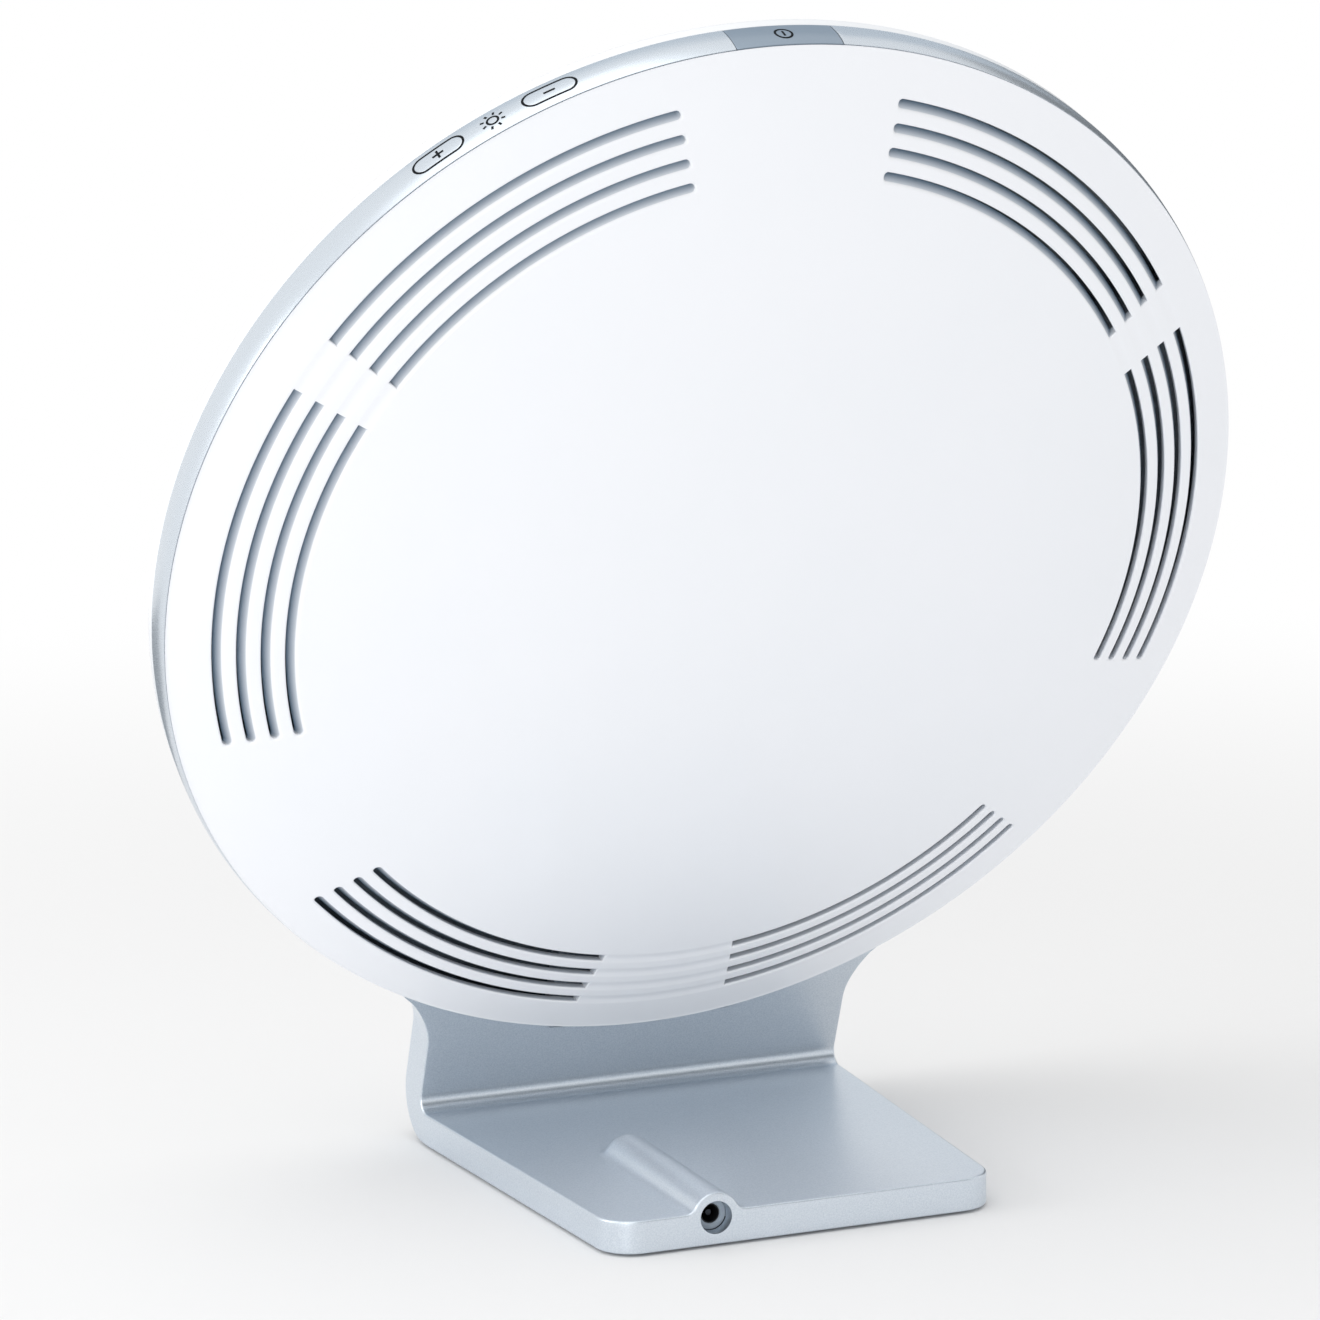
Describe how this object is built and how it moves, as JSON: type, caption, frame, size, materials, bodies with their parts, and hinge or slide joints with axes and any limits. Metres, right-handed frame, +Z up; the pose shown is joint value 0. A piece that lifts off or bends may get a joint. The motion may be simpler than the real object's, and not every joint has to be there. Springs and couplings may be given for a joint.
{
  "type": "light therapy lamp",
  "caption": "Round flat light therapy lamp: lit disc with vented domed back, rim keys for power and dimming, fixed on a one-piece bent L stand with a DC jack.",
  "frame": {"origin": "centre of the lamp's bounding box at the underside of the foot pad, on the surface that it stands on", "axes": "+Z up; the light face looks along -Y and leans back; +Y is towards the vented cover and the jack; +X is towards the plus and minus keys"},
  "size_m": [0.3318, 0.1479, 0.345],
  "materials": {
    "white_abs": "satin moulded ABS",
    "opal_acrylic": "opal acrylic sheet",
    "clear_acrylic": "polished acrylic sheet",
    "reflector_film": "white reflective film",
    "white_circuit": "white solder mask",
    "led_ceramic": "white package with phosphor",
    "sheet_aluminium": "plain sheet aluminium",
    "zinc_steel": "zinc-plated steel",
    "silver_band": "silver satin paint on ABS",
    "white_gloss_abs": "white gloss ABS",
    "silver_key": "darker silver satin paint on ABS",
    "black_plastic": "moulded black plastic",
    "grey_plastic": "moulded grey plastic",
    "green_circuit": "green solder mask",
    "plated_brass": "plated brass",
    "capacitor_sleeve": "shrink sleeve",
    "ferrite": "ferrite",
    "black_aluminium": "black anodised",
    "white_nylon": "moulded nylon",
    "silver_casting": "bead-blasted silver die casting",
    "mild_steel": "plain steel plate",
    "soft_rubber": "soft non-slip rubber",
    "black_sleeve": "PVC sleeve"
  },
  "bodies": {
    "lamp": {"front_frame": "white_abs", "diffuser": "opal_acrylic", "light_guide": "clear_acrylic", "reflector_sheet": "reflector_film", "led_strip": "white_circuit", "led_packages": "led_ceramic", "led_chassis": "sheet_aluminium", "cover_screws": "zinc_steel", "neck_screws": "zinc_steel", "rim_band": "silver_band", "rear_cover": "white_gloss_abs", "power_switch": "black_plastic", "plus_switch": "black_plastic", "minus_switch": "black_plastic", "key_board": "green_circuit", "driver_board": "green_circuit", "board_standoffs": "plated_brass", "board_screws": "zinc_steel", "capacitors": "capacitor_sleeve", "inductor": "ferrite", "heat_sink": "black_aluminium", "controller_chip": "black_plastic", "lead_connector": "white_nylon", "stand": "silver_casting", "base_cover": "grey_plastic", "base_screws": "zinc_steel", "ballast_plates": "mild_steel", "foot_pad": "soft_rubber", "dc_jack": "grey_plastic", "jack_pin": "plated_brass", "jack_clamp": "black_plastic", "dc_lead": "black_sleeve"},
    "power_button": {"power_button": "silver_key", "power_plunger": "grey_plastic"},
    "plus_button": {"plus_button": "silver_band", "plus_plunger": "grey_plastic"},
    "minus_button": {"minus_button": "silver_band", "minus_plunger": "grey_plastic"}
  },
  "joints": [
    {"name": "power_press", "type": "slide", "parent": "lamp", "child": "power_button", "axis": [0, -0.3714, -0.9285], "range_m": [0, 0.0008], "stiffness_N_per_m": 1500},
    {"name": "plus_press", "type": "slide", "parent": "lamp", "child": "plus_button", "axis": [-0.5906, -0.2997, -0.7493], "range_m": [0, 0.0008], "stiffness_N_per_m": 1500},
    {"name": "minus_press", "type": "slide", "parent": "lamp", "child": "minus_button", "axis": [-0.4083, -0.339, -0.8476], "range_m": [0, 0.0008], "stiffness_N_per_m": 1500}
  ]
}
